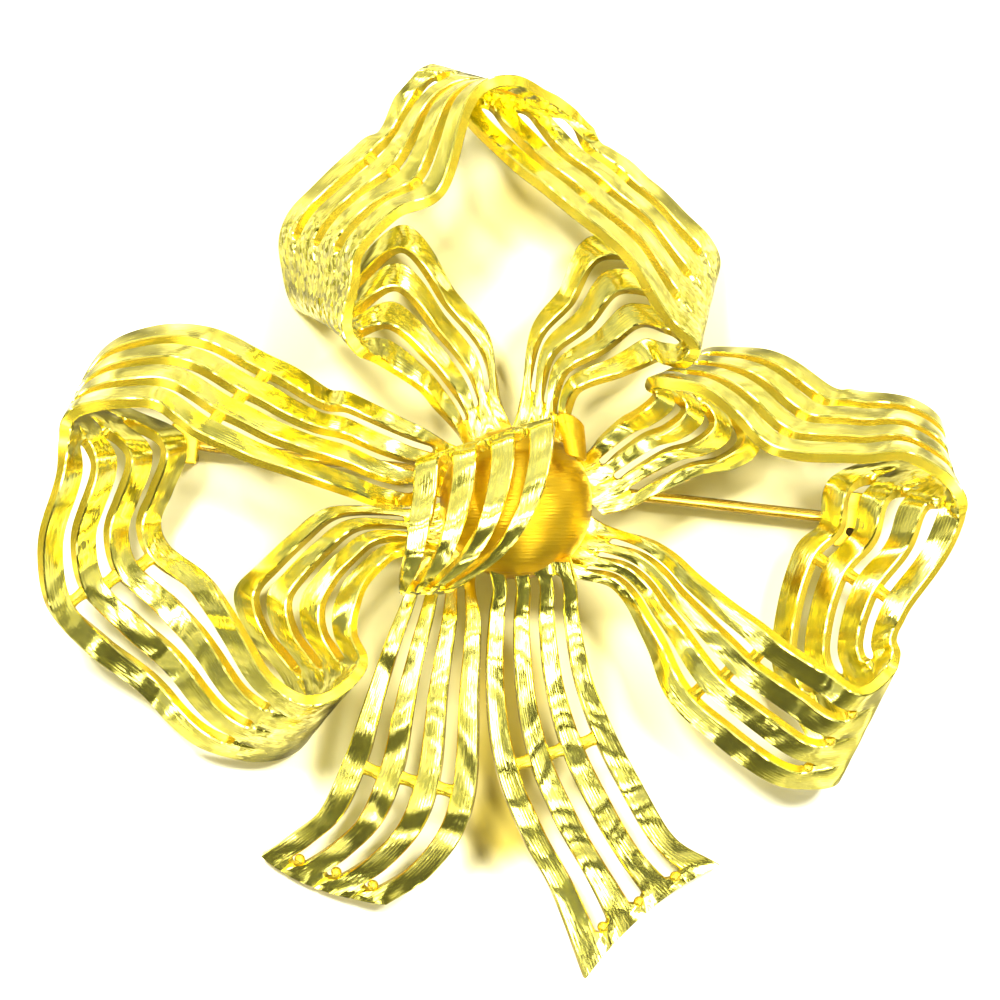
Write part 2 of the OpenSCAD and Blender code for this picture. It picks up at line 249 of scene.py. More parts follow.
# How each ribbon is finished, with places along it in rows of its table, counted from its first
# root. roots: what root_row takes for its ends on the hub. rise: how much higher the first root
# ends under the knot. slits: the stretches that are cut through. bars: where small bars join the
# strips. beads: where a bead closes each slit. hammered: plain stretches that are hammered, with
# their strength. bow: how far the free end bows. wave: how far the hand-bent waves stand off.
RIBBONS = {
    "loop_top": {
        "table": TOP_LOOP,
        "roots": [(72, -105, 0.0), (113, -427, 0.0)],
        "slits": [(0.3, 4.6), (7.0, 12.4), (13.6, 19.2), (22.0, 25.7)],
        "bars": [10.1, 17.1],
        "hammered": [(18.6, 22.2, 1.0), (4.4, 7.2, 0.4), (12.2, 14.2, 0.5)],
    },
    "loop_left": {
        "table": LEFT_LOOP,
        "roots": [(156, -80, 0.0), (200, -258, 0.6)],
        "slits": [(0.3, 7.6), (9.2, 17.4), (20.2, 25.7)],
        "bars": [4.1, 13.1],
        "hammered": [(7.4, 9.4, 0.12), (17.2, 20.4, 0.12)],
    },
    "loop_right": {
        "table": RIGHT_LOOP,
        "roots": [(-34, -96, 0.0, 4.8), (13, -419, 0.0, 5.4)],
        "slits": [(0.3, 5.2), (7.4, 11.4), (13.4, 19.6), (21.5, 25.7)],
        "bars": [3.1, 9.1, 17.1],
        "beads": [5.12],
        "hammered": [(11.2, 13.6, 0.12), (19.4, 22.0, 0.12)],
    },
    "tail_left": {
        "table": LEFT_TAIL,
        "roots": [(-136, 120, -0.6)],
        "slits": [(0.3, 5.75)],
        "bars": [3.1],
        "beads": [5.66],
        "bow": 1.1,
        "wave": 0.05,
    },
    "tail_right": {
        "table": RIGHT_TAIL,
        "roots": [(-77, 75, 1.5, 6.3)],
        "rise": 1.2,
        "slits": [(-0.5, 5.75)],
        "bars": [3.1],
        "beads": [5.66],
        "bow": -0.9,
        "wave": 0.075,
    },
}


class BowSizes(bpy.types.PropertyGroup):
    """Sizes of the fine work on the ribbons, in millimetres."""

    thick: FloatProperty(
        name="Ribbon thickness", description="Thickness of the ribbon", default=0.9, min=0.5, max=1.2)
    chamfer: FloatProperty(
        name="Edge chamfer", description="Width of the chamfer on each strip's edges", default=0.10,
        min=0.0, max=0.2)
    crown: FloatProperty(
        name="Strip crown", description="How far a strip's face bulges", default=0.025, min=0.0, max=0.1)
    notch: FloatProperty(
        name="Slit notch", description="Depth of the groove that runs on past a slit's end",
        default=0.26, min=0.0, max=0.4)
    notch_run: FloatProperty(
        name="Notch run", description="How far the groove runs on past a slit's end", default=1.6,
        min=0.2, max=4.0)
    bar_r: FloatProperty(
        name="Bar radius", description="Half the width of the small bars between the strips",
        default=0.54, min=0.2, max=0.7)
    bead_r: FloatProperty(
        name="Bead radius", description="Radius of the beads at the slits' ends", default=0.42,
        min=0.1, max=0.5)
    wave: FloatProperty(
        name="Wave", description="How far the ribbons' hand-bent waves stand off their smooth course",
        default=0.070, min=0.0, max=0.3)
    steps: IntProperty(
        name="Steps", description="Stations between two rows of a ribbon's table", default=16,
        min=4, max=24)


class BowFinish(bpy.types.PropertyGroup):
    """Colours and the depth of the engraving."""

    gold: FloatVectorProperty(
        name="Gold", description="Colour of the engraved gold", subtype="COLOR",
        default=(0.95, 0.88, 0.215), min=0.0, max=1.0)
    # The cast gold's deeper colour is painted shade and painted golden bounce light on the pieces that wear
    # it.
    cast_gold_painted_shade: FloatVectorProperty(
        name="Cast gold with painted shade", description="Colour of the unengraved gold", subtype="COLOR",
        default=(0.93, 0.75, 0.060), min=0.0, max=1.0)
    line_depth: FloatProperty(
        name="Line depth", description="Depth of the engraved lines in millimetres", default=0.007,
        min=0.0, max=0.05)


class BowStage(bpy.types.PropertyGroup):
    """The floor, the lights and the camera's distance."""

    floor: FloatVectorProperty(
        name="Floor", description="Colour of the floor", subtype="COLOR",
        default=(0.94, 0.93, 0.84), min=0.0, max=1.0)
    camera_z: FloatProperty(
        name="Camera height", description="Height of the camera above the floor", default=0.456,
        min=0.2, max=2.0, subtype="DISTANCE", unit="LENGTH")
    key: FloatProperty(
        name="Key light", description="Power of each light that casts the shadows", default=15.0,
        min=0.0, max=50.0, subtype="POWER", unit="POWER")


def sizes():
    """The sizes that the panel holds."""
    return bpy.context.scene.bow_sizes


def finish():
    """The colours and depths that the panel holds."""
    return bpy.context.scene.bow_finish


def root_row(angle, turn, lift, width=ROOT_W, inward=0.0):
    """A section at the hub's rim: its middle lies at the angle from the hub's centre, as far out as
    keeps its straight end ROOT_GAP from the rim, less inward; its way across is angle plus turn."""
    c = abs(math.sin(math.radians(turn)))
    s = math.sqrt(1 - c * c)
    h = ROOT_W / 2
    r = HUB_R + ROOT_GAP
    reach = r / c if r * s < h * c else h * s + math.sqrt(r * r - h * h * c * c)
    reach -= inward
    way = math.radians(angle)
    return [(HUB_X + reach * math.cos(way)) / LAYOUT, (HUB_Y + reach * math.sin(way)) / LAYOUT,
            (ROOT_Z + lift) / RISE, angle + turn, 0, width / RIBBON_W]


def edges(rows):
    """Both edges of a ribbon: the middle less and plus half the width along the way across."""
    middle = rows[:, :3] * [LAYOUT, LAYOUT, RISE]
    way, dip = np.radians(rows[:, 3]), np.radians(rows[:, 4])
    across = np.stack([np.cos(way) * np.cos(dip), np.sin(way) * np.cos(dip), -np.sin(dip)], 1)
    half = rows[:, 5:6] * RIBBON_W / 2
    return middle - half * across, middle + half * across


def knots_of(p, q):
    """Places of the rows along a curve: sums of the square roots of the steps of both edges."""
    step = np.linalg.norm(np.diff(p, axis=0), axis=1) + np.linalg.norm(np.diff(q, axis=0), axis=1)
    return np.concatenate([[0.0], np.cumsum(np.sqrt(step))])


def smooth_curve(p, k, u):
    """The cubic through points p at knots k, at places u given in rows: between two points it takes
    the point values and slopes, and a slope is the two near chords' sum less the far chord."""
    chord = (p[1:] - p[:-1]) / (k[1:] - k[:-1])[:, None]
    slope = np.empty_like(p)
    slope[0], slope[-1] = chord[0], chord[-1]
    slope[1:-1] = chord[:-1] + chord[1:] - (p[2:] - p[:-2]) / (k[2:] - k[:-2])[:, None]
    i = np.clip(np.floor(u).astype(int), 0, len(p) - 2)
    t = (u - i)[:, None]
    w = (k[i + 1] - k[i])[:, None]
    return ((2 * t**3 - 3 * t**2 + 1) * p[i] + (t**3 - 2 * t**2 + t) * slope[i] * w
            + (3 * t**2 - 2 * t**3) * p[i + 1] + (t**3 - t**2) * slope[i + 1] * w)


def unit(v):
    """Vectors divided by their lengths."""
    return v / np.maximum(np.linalg.norm(v, axis=-1, keepdims=True), 1e-12)


class Ribbon:
    """A ribbon's middle surface: a point is edge 1 plus a share s of the way to edge 2."""

    def __init__(self, rows, steps, bow=0.0):
        self.e1, self.e2 = edges(rows)
        self.knots = knots_of(self.e1, self.e2)
        self.rows = len(rows)
        self.u = np.arange((self.rows - 1) * steps + 1) / steps
        self.bow = bow
        self.p = smooth_curve(self.e1, self.knots, self.u)
        self.q = smooth_curve(self.e2, self.knots, self.u)
        middle = (self.p + self.q) / 2
        self.length = np.concatenate([[0.0], np.cumsum(np.linalg.norm(np.diff(middle, axis=0), axis=1))])

    def points(self, share):
        """Points of the surface for shares of shape (stations, columns), bowed at the free end: the
        bow grows between the last two rows, and with the share times its complement."""
        pts = self.p[:, None] + share[..., None] * (self.q - self.p)[:, None]
        if self.bow:
            ahead = unit(self.p[-1] - self.p[-2] + self.q[-1] - self.q[-2])
            grow = np.clip(self.u - (self.rows - 2), 0, 1) ** 2
            pts = pts + (4 * share * (1 - share) * self.bow * grow[:, None])[..., None] * ahead
        return pts

    def normals(self, pts):
        """Normals of the surface: along crossed with across, each a central difference."""
        along = np.gradient(pts, axis=0)
        across = np.broadcast_to((self.q - self.p)[:, None], pts.shape)
        return unit(np.cross(along, across))

    def place(self, u, share):
        """The point, the way along, the way across and the normal at one place."""
        near = 0.02
        us = np.array([max(u - near, 0), u, min(u + near, self.rows - 1)])
        p = smooth_curve(self.e1, self.knots, us)
        q = smooth_curve(self.e2, self.knots, us)
        m = p + share * (q - p)
        along = unit(m[2] - m[0])
        normal = unit(np.cross(along, q[1] - p[1]))
        return m[1], along, unit(np.cross(normal, along)), normal


def mesh_object(name, verts, faces, uv, kind, mark):
    """A mesh object from vertices in millimetres and a list of faces; uv and the hammered mark are
    per vertex, kind is the material's place per face."""
    mesh = bpy.data.meshes.new(name)
    mesh.from_pydata((np.asarray(verts) * MM).tolist(), [], faces)
    mesh.update()
    mesh.polygons.foreach_set("use_smooth", np.ones(len(mesh.polygons), bool))
    corners = np.empty(len(mesh.loops), np.int32)
    mesh.loops.foreach_get("vertex_index", corners)
    layer = mesh.uv_layers.new(name="Ribbon")
    layer.data.foreach_set("uv", np.asarray(uv, np.float32)[corners].ravel())
    mesh.polygons.foreach_set("material_index", np.asarray(kind, np.int32))
    attribute = mesh.attributes.new("hammered", "FLOAT", "POINT")
    attribute.data.foreach_set("value", np.asarray(mark, np.float32))
    mesh.set_sharp_from_angle(angle=math.radians(SHARP_ANGLE))
    return placed(name, mesh)


def placed(name, data):
    """A new object with the mesh, light or camera, in the scene."""
    obj = bpy.data.objects.new(name, data)
    bpy.context.scene.collection.objects.link(obj)
    return obj


def volume(verts, faces):
    """Six times the signed volume that faces of one number of corners add: a fan of triangles each."""
    total = 0.0
    for k in range(1, faces.shape[1] - 1):
        a, b, c = verts[faces[:, 0]], verts[faces[:, k]], verts[faces[:, k + 1]]
        total += np.einsum("ij,ij->", a, np.cross(b, c))
    return total


def outward(verts, *groups):
    """Groups of faces of a closed skin as one list, turned round if the signed volume is negative."""
    if sum(volume(verts, g) for g in groups) < 0:
        groups = [g[:, ::-1] for g in groups]
    return [face for g in groups for face in g.tolist()]


def joined(parts):
    """Several (verts, faces, uv, kind, mark) put into one set of arrays, the faces as a list."""
    faces, start = [], 0
    for part in parts:
        faces += [[corner + start for corner in face] for face in part[1]]
        start += len(part[0])
    kind = [np.full(len(p[1]), p[3]) if np.isscalar(p[3]) else p[3] for p in parts]
    verts, uv, mark = (np.concatenate([p[c] for p in parts]) for c in (0, 2, 4))
    return verts, faces, uv, np.concatenate(kind), mark


def hand_waves(length, share, height):
    """Slow waves of hand-bent metal: two sines of the length with a phase that drifts across."""
    first = np.sin(2 * np.pi * length[:, None] / LONG_WAVE + LONG_DRIFT * share)
    start = 2 * np.pi * length[:, None] / SHORT_WAVE + SHORT_START
    second = np.sin(start + SHORT_DRIFT * share)
    return height * (first + SHORT_SHARE * second)


def into_stretches(stretches, u, length):
    """How far each station lies inside the nearest of the stretches along a ribbon: less than 0
    outside them, and far less where there are none."""
    into = np.full(len(u), -1e3)
    for a, b in stretches:
        start, end = np.interp([a, b], u, length)
        into = np.maximum(into, np.minimum(length - start, end - length))
    return into


def skin_faces(solid):
    """Faces of a closed skin round the cells that are solid, on a grid of which every point is on
    the upper and on the lower skin: kind 0 on both skins, and kind 1 on the walls, which stand
    where a cell has no neighbour."""
    i, j = np.nonzero(solid)
    padded = np.pad(solid, 1)
    columns = solid.shape[1] + 1

    def quads(here, corners):
        """Faces of the chosen cells, from corners given as (station, column, skin)."""
        return np.stack([((i[here] + di) * columns + j[here] + dj) * 2 + skin
                         for di, dj, skin in corners], 1)

    every = np.ones(len(i), bool)
    faces = [quads(every, ((0, 0, 0), (0, 1, 0), (1, 1, 0), (1, 0, 0))),
             quads(every, ((0, 0, 1), (1, 0, 1), (1, 1, 1), (0, 1, 1)))]
    walls = {
        (0, -1): ((0, 0, 0), (1, 0, 0), (1, 0, 1), (0, 0, 1)),
        (0, 1): ((0, 1, 0), (0, 1, 1), (1, 1, 1), (1, 1, 0)),
        (-1, 0): ((0, 0, 0), (0, 0, 1), (0, 1, 1), (0, 1, 0)),
        (1, 0): ((1, 0, 0), (1, 1, 0), (1, 1, 1), (1, 0, 1)),
    }
    for (di, dj), corners in walls.items():
        faces.append(quads(~padded[i + 1 + di, j + 1 + dj], corners))
    faces = np.concatenate(faces)
    return faces, (np.arange(len(faces)) >= 2 * len(i)).astype(int)


def openwork(ribbon, slits=(), hammered=(), *, thick, chamfer, crown, notch=0.0, notch_run=1.0,
             wave=0.0, strips=STRIPS):
    """The pierced ribbon as one closed skin. Columns run along it: six in each strip and one in the
    middle of each slit. A slit is cut where a station lies in one of the stretches; towards its end
    it closes like a circle, and beyond it a groove gets narrower and shallower until it ends. Both
    skins stand half the thickness off the middle surface, less the chamfer at a strip's edge."""
    u, length = ribbon.u, ribbon.length
    n = len(u)
    slit = SLIT_W / RIBBON_W if strips > 1 else 0.0
    strip = (1 - (strips - 1) * slit) / strips
    width = np.linalg.norm(ribbon.q - ribbon.p, axis=1)
    into = into_stretches(slits, u, length)
    inner = np.clip(into / np.maximum(slit * width / 2, SLIT_LEAST), 0, 1)
    rounding = ROUND_START + (1 - ROUND_START) * np.sqrt(1 - (1 - inner) ** 2)
    fade = np.clip(1 + into / notch_run, 0, 1)
    narrow = np.where(into > 0, rounding, GROOVE_END + (GROOVE_START - GROOVE_END) * fade)
    bevel = np.where(into > 0, 1.0, fade)
    cut = chamfer / np.maximum(width, 1e-6)
    full = np.full(n, thick / 2)
    bulge = full + crown * CROWN_SHARE
    shares, heights = [], []
    for j in range(strips):
        left = np.full(n, j * (strip + slit))
        right = left + strip
        left_bevel = right_bevel = np.ones(n)
        if j < strips - 1:
            right = right + slit / 2 * (1 - narrow)
            right_bevel = bevel
        if j > 0:
            shares.append(left - slit / 2)
            heights.append(thick / 2 - notch * fade)
            left = left - slit / 2 * (1 - narrow)
            left_bevel = bevel
        start, end = left + cut, right - cut
        span = end - start
        shares += [left, start, start + span / 3, start + span * 2 / 3, end, right]
        heights += [full - chamfer * left_bevel, full, bulge, bulge, full, full - chamfer * right_bevel]
    share = np.stack(shares, 1)
    pts = ribbon.points(share)
    nrm = ribbon.normals(pts)
    pts = pts + nrm * hand_waves(length, share, wave)[..., None]
    off = nrm * np.stack(heights, 1)[..., None]
    verts = np.stack([pts + off, pts - off], 2).reshape(-1, 3)
    solid = np.ones((n - 1, share.shape[1] - 1), bool)
    cell_open = np.interp((length[1:] + length[:-1]) / 2, length, into) > 0
    for j in range(1, strips):
        solid[cell_open, COLUMNS * j - 2:COLUMNS * j] = False
    faces, kind = skin_faces(solid)
    along = np.broadcast_to(length[:, None], share.shape)
    uv = np.repeat(np.stack([along, share * RIBBON_W], -1).reshape(-1, 2), 2, axis=0)
    mark = np.zeros(n)
    for a, b, strength in hammered:
        inside = np.clip(into_stretches([(a, b)], u, length) / HAMMER_FADE + 0.5, 0, 1)
        mark = np.maximum(mark, strength * inside)
    mark = np.repeat(mark, share.shape[1] * 2)
    used, back = np.unique(faces, return_inverse=True)
    verts, faces = verts[used], back.reshape(faces.shape)
    return verts, outward(verts, faces), uv[used], kind, mark[used]


def repeated(faces, count, size):
    """Faces of one copy of a part that has size vertices, put out again for each of its copies."""
    return (faces + (np.arange(count) * size)[:, None, None]).reshape(-1, faces.shape[1])


def bands(rings, sides):
    """Faces between closed rings of points that follow each other."""
    r = (np.arange(rings - 1) * sides)[:, None]
    s = np.arange(sides)[None]
    s2 = (s + 1) % sides
    return np.stack([r + s, r + s2, r + sides + s2, r + sides + s], -1).reshape(-1, 4)


def turned(profile, sides=96):
    """A profile of (radius, height) points that starts and ends on the axis, turned about Z."""
    profile = np.asarray(profile, float)
    inner = profile[1:-1]
    w = np.linspace(0, 2 * np.pi, sides, endpoint=False)
    ring = np.stack([inner[:, :1] * np.cos(w), inner[:, :1] * np.sin(w),
                     np.broadcast_to(inner[:, 1:], (len(inner), sides))], -1).reshape(-1, 3)
    verts = np.concatenate([ring, [[0, 0, profile[0, 1]], [0, 0, profile[-1, 1]]]])
    first, last, top = len(ring), len(ring) + 1, len(ring) - sides
    s = np.arange(sides)
    s2 = (s + 1) % sides
    caps = np.concatenate([np.stack([np.full(sides, first), s2, s], -1),
                           np.stack([np.full(sides, last), top + s, top + s2], -1)])
    return verts, bands(len(inner), sides), caps


def round_bars(places, half_length, radius, height, sides=14):
    """Small bars across the slits: at each place a closed cylinder along the way across, a little
    thicker at its ends, whose section is an ellipse of the radius along the ribbon and the height
    along the normal."""
    c, t, a, nrm = (np.array(part)[:, None, None] for part in zip(*places))
    half = np.asarray(half_length)[:, None, None, None]
    w = np.linspace(0, 2 * np.pi, sides, endpoint=False)[None, None, :, None]
    x = np.array([-1.0, -0.3, 0.3, 1.0])[None, :, None, None]
    waist = np.array([1.12, 0.92, 0.92, 1.12])[None, :, None, None]
    ring = c + x * half * a + waist * (radius * np.cos(w) * t + height * np.sin(w) * nrm)
    count, rings = ring.shape[:2]
    last = (rings - 1) * sides
    fan = np.arange(1, sides - 1)
    caps = np.concatenate([np.stack([0 * fan, fan + 1, fan], -1),
                           np.stack([last + 0 * fan, last + fan, last + fan + 1], -1)])
    faces = (repeated(part, count, rings * sides) for part in (bands(rings, sides), caps))
    return ring.reshape(-1, 3), *faces


def beads(centres, radius, rings=8, sides=14):
    """Small spheres round the centres: a half circle turned about Z."""
    lat = np.linspace(-np.pi / 2, np.pi / 2, rings + 1)
    ball, *faces = turned(np.stack([np.cos(lat), np.sin(lat)], 1), sides)
    verts = (np.asarray(centres)[:, None] + ball * radius).reshape(-1, 3)
    return verts, *(repeated(part, len(centres), len(ball)) for part in faces)


def plain_part(kind, verts, *groups):
    """A closed part without a pattern along a ribbon, its groups of faces turned outwards."""
    return verts, outward(verts, *groups), verts[:, :2], kind, np.zeros(len(verts))


def own(obj, materials, nodes, body="bow"):
    """Gives a piece its materials, and lets it ride a body and stand for CAD nodes."""
    for material in materials:
        obj.data.materials.append(material)
    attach(obj, body)
    if nodes:
        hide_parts(*nodes)


def put(name, parts, materials, *nodes, body="bow"):
    """Joins the parts into one piece that stands for nodes."""
    own(mesh_object(name, *joined(parts)), materials, nodes, body)


def ribbon_piece(name):
    """One openwork ribbon with its bars and beads, which stands for the CAD node of that name."""
    s = sizes()
    spec = RIBBONS[name]
    ends = [[root_row(*root, inward=ROOT_TUCK), root_row(*root)] for root in spec["roots"]]
    ends[0][0][2] += spec.get("rise", 0.0) / RISE
    rows = ends[0] + spec["table"] + [row for end in ends[1:] for row in reversed(end)]
    # Places are counted from the first root, which is the second row here.
    ribbon = Ribbon(np.array(rows, float), s.steps, spec.get("bow", 0.0))
    slits = [(a + 1, b + 1) for a, b in spec["slits"]]
    hammered = [(a + 1, b + 1, strength) for a, b, strength in spec.get("hammered", [])]
    parts = [openwork(ribbon, slits, hammered, thick=s.thick, chamfer=s.chamfer, crown=s.crown,
                      notch=s.notch, notch_run=s.notch_run, wave=spec.get("wave", s.wave))]
    slit = SLIT_W / RIBBON_W
    strip = (1 - SLITS * slit) / STRIPS
    middles = [(k + 1) * strip + (k + 0.5) * slit for k in range(SLITS)]
    places, halves = [], []
    for u in spec["bars"]:
        width = np.interp(u + 1, ribbon.u, np.linalg.norm(ribbon.q - ribbon.p, axis=1))
        places += [ribbon.place(u + 1, middle) for middle in middles]
        halves += [slit * width / 2 + BAR_REACH] * SLITS
    parts.append(plain_part(1, *round_bars(places, halves, s.bar_r, s.thick / 2 - BAR_SINK)))
    centres = []
    for u in spec.get("beads", []):
        for middle in middles:
            c, _, _, nrm = ribbon.place(u + 1, middle)
            nrm = nrm if nrm[2] > 0 else -nrm
            centres.append(c + nrm * (s.thick / 2 - BEAD_SINK))
    if centres:
        parts.append(plain_part(1, *beads(centres, s.bead_r)))
    put(name + "_ribbon", parts, [engraved_gold(), cast_gold_painted_shade()], name)


def node(tree, kind, inputs, **settings):
    """A node of a kind with its settings. inputs maps the name or place of a socket to another
    node's output, which is linked to it, or to a constant."""
    made = tree.nodes.new("ShaderNode" + kind)
    for key, value in settings.items():
        setattr(made, key, value)
    for key, value in inputs.items():
        if isinstance(value, bpy.types.NodeSocket):
            tree.links.new(value, made.inputs[key])
        else:
            made.inputs[key].default_value = value
    return made


def math_node(tree, operation, *values, clamp=False):
    """A Math node on sockets or numbers."""
    return node(tree, "Math", dict(enumerate(values)), operation=operation, use_clamp=clamp).outputs[0]


def vector_node(tree, operation, *values, scale=None):
    """A Vector Math node on sockets or constants: a number for a product, distance or length, and
    otherwise a vector."""
    inputs = dict(enumerate(values))
    if scale is not None:
        inputs["Scale"] = scale
    made = node(tree, "VectorMath", inputs, operation=operation)
    return made.outputs["Value" if operation in ("DOT_PRODUCT", "DISTANCE", "LENGTH") else "Vector"]


def split_node(tree, vector):
    """The three coordinates of a vector, by their names."""
    return node(tree, "SeparateXYZ", {"Vector": vector}).outputs


def mix_colour(tree, factor, a, b):
    """A Mix node for colours whose factor is a socket and whose ends are sockets or colours."""
    return node(tree, "Mix", {0: factor, 6: a, 7: b}, data_type="RGBA").outputs[2]


def ramp(tree, value, low, high):
    """Rises smoothly from 0 to 1 as the value goes from low to high."""
    inputs = {"Value": value, "From Min": low, "From Max": high}
    return node(tree, "MapRange", inputs, interpolation_type="SMOOTHSTEP").outputs["Result"]


def noise_node(tree, vector, cells, detail=1.0, rough=0.5):
    """A Noise Texture with so many cells to the vector's unit, or so many along each axis."""
    if isinstance(cells, tuple):
        vector = node(tree, "Mapping", {"Vector": vector, "Scale": cells}).outputs["Vector"]
        cells = 1.0
    inputs = {"Vector": vector, "Scale": cells, "Detail": detail, "Roughness": rough}
    return node(tree, "TexNoise", inputs).outputs["Fac"]


def uneven(tree, colour, noise, doublings):
    """A colour that a noise makes darker and brighter: it is doubled that many times in all from
    the noise's 0 to its 1, and stays the same at its middle."""
    power = math_node(tree, "MULTIPLY_ADD", noise, doublings, -doublings / 2)
    return vector_node(tree, "SCALE", colour, scale=math_node(tree, "POWER", 2.0, power))


def new_group(name, inputs, outputs):
    """A shader node group with its sockets: inputs maps a name to its default number, or to None
    for a vector, and outputs maps a name to its kind."""
    tree = bpy.data.node_groups.new(name, "ShaderNodeTree")
    for label, value in inputs.items():
        kind = "NodeSocketVector" if value is None else "NodeSocketFloat"
        socket = tree.interface.new_socket(label, in_out="INPUT", socket_type=kind)
        if value is not None:
            socket.default_value = value
    for label, kind in outputs.items():
        tree.interface.new_socket(label, in_out="OUTPUT", socket_type=kind)
    return tree, tree.nodes.new("NodeGroupInput").outputs, tree.nodes.new("NodeGroupOutput").inputs


# Cells in a millimetre of each noise, along the ribbon and across it.
LINE_CELLS = (0.25, 4.4, 1.0)
TONE_CELLS = (0.5, 1.2, 1.0)
GRAIN_CELLS = (1.7, 4.4, 1.0)
JAG_CELLS = (1.4, 5.0, 1.0)
DRIFT_CELLS = (0.14, 0.20, 1.0)
FACET_CELLS = (0.30, 0.36, 1.0)
SPECKLE_CELLS = (2.4, 3.2, 1.0)
# The ridges between the lines: radians in a millimetre, how much the lines sway them, their share.
RIDGE_TURN = 25.0
RIDGE_SWAY = 5.0
RIDGE_SHARE = 0.30
# How far the facets' edges are shifted, and how far that noise leans the normal.
JAG_SHIFT = 3.0
JAG_LEAN = 0.16
# The slow waves: radians in a millimetre, and how much the drift sways them.
WAVE_TURN = 1.2
WAVE_SWAY = 16.0
# How far the normal leans in the facets, in the waves and in the speckle everywhere, and how much
# further in the speckle of hammered metal.
FACET_LEAN = 0.055
WAVE_LEAN = 0.13
PLAIN_SPECKLE = 0.03
HAMMERED_SPECKLE = 0.60
# How the slow change becomes a share of the deeper colour, and what that share adds to roughness.
TONE_GAIN = 1.6
TONE_OFFSET = -0.45
TONE_ROUGH = 0.08


def engraving_group():
    """Engraved lines and grain: long thin noise along the first coordinate makes the lines, sines
    across it the ridges and short noise the grain. Height is their sum, Tone is a slow change."""
    tree = bpy.data.node_groups.get("Engraving")
    if tree:
        return tree
    tree, start, end = new_group("Engraving", {"Vector": None, "Lines": 1.0, "Grain": 1.0},
                                 {"Height": "NodeSocketFloat", "Tone": "NodeSocketFloat"})
    vector = start["Vector"]
    fine = noise_node(tree, vector, LINE_CELLS)
    broad = noise_node(tree, vector, TONE_CELLS, detail=2.0)
    grain = noise_node(tree, vector, GRAIN_CELLS, rough=0.6)
    sway = math_node(tree, "MULTIPLY", fine, RIDGE_SWAY)
    phase = math_node(tree, "MULTIPLY_ADD", split_node(tree, vector)["Y"], RIDGE_TURN, sway)
    ridges = math_node(tree, "MULTIPLY", math_node(tree, "SINE", phase), broad)
    fine = math_node(tree, "MULTIPLY_ADD", ridges, RIDGE_SHARE, fine)
    height = math_node(tree, "MULTIPLY", fine, start["Lines"])
    height = math_node(tree, "MULTIPLY_ADD", grain, start["Grain"], height)
    tree.links.new(height, end["Height"])
    tree.links.new(broad, end["Tone"])
    return tree


def facets_group():
    """Hand-cut facets: the normal leans by a random amount in each cell, along the tangent and
    across it. Large cells have edges broken up along the engraved lines, small ones make the
    speckle of the hammered stretches, and a drifting sine along the ribbon makes slow waves."""
    tree = bpy.data.node_groups.get("Facets")
    if tree:
        return tree
    inputs = {"Vector": None, "Normal": None, "Tangent": None, "Lean": 0.2, "Speckle": 0.1, "Waves": 0.1}
    tree, start, end = new_group("Facets", inputs, {"Normal": "NodeSocketVector"})
    vector = start["Vector"]
    jag = noise_node(tree, vector, JAG_CELLS)
    shift = math_node(tree, "MULTIPLY_ADD", jag, JAG_SHIFT, -JAG_SHIFT / 2)
    moved = vector_node(tree, "ADD", vector, node(tree, "CombineXYZ", {"X": shift}).outputs["Vector"])
    leans = []
    for place, cells, amount in ((moved, FACET_CELLS, "Lean"), (vector, SPECKLE_CELLS, "Speckle")):
        mapping = node(tree, "Mapping", {"Vector": place, "Scale": cells})
        inputs = {"Vector": mapping.outputs["Vector"], "Scale": 1.0, "Randomness": 1.0}
        cell = node(tree, "TexVoronoi", inputs).outputs["Color"]
        centred = vector_node(tree, "SUBTRACT", cell, (0.5, 0.5, 0.5))
        leans.append(vector_node(tree, "SCALE", centred, scale=start[amount]))
    lean = split_node(tree, vector_node(tree, "ADD", *leans))
    along = math_node(tree, "ADD", lean["X"], -JAG_LEAN / 2)
    along = math_node(tree, "MULTIPLY_ADD", jag, JAG_LEAN, along)
    drift = noise_node(tree, vector, DRIFT_CELLS, detail=0.0)
    turn = math_node(tree, "MULTIPLY", split_node(tree, vector)["X"], WAVE_TURN)
    phase = math_node(tree, "MULTIPLY_ADD", drift, WAVE_SWAY, turn)
    wave = math_node(tree, "MULTIPLY", math_node(tree, "SINE", phase), start["Waves"])
    along = math_node(tree, "ADD", along, wave)
    normal = start["Normal"]
    across = vector_node(tree, "CROSS_PRODUCT", normal, start["Tangent"])
    for direction, amount in ((start["Tangent"], along), (across, lean["Y"])):
        normal = vector_node(tree, "ADD", normal, vector_node(tree, "SCALE", direction, scale=amount))
    tree.links.new(vector_node(tree, "NORMALIZE", normal), end["Normal"])
    return tree


def new_material(name):
    """A material with its nodes: the material, its tree and its Principled BSDF's inputs."""
    material = bpy.data.materials.new(name)
    material.use_nodes = True
    return material, material.node_tree, material.node_tree.nodes["Principled BSDF"].inputs


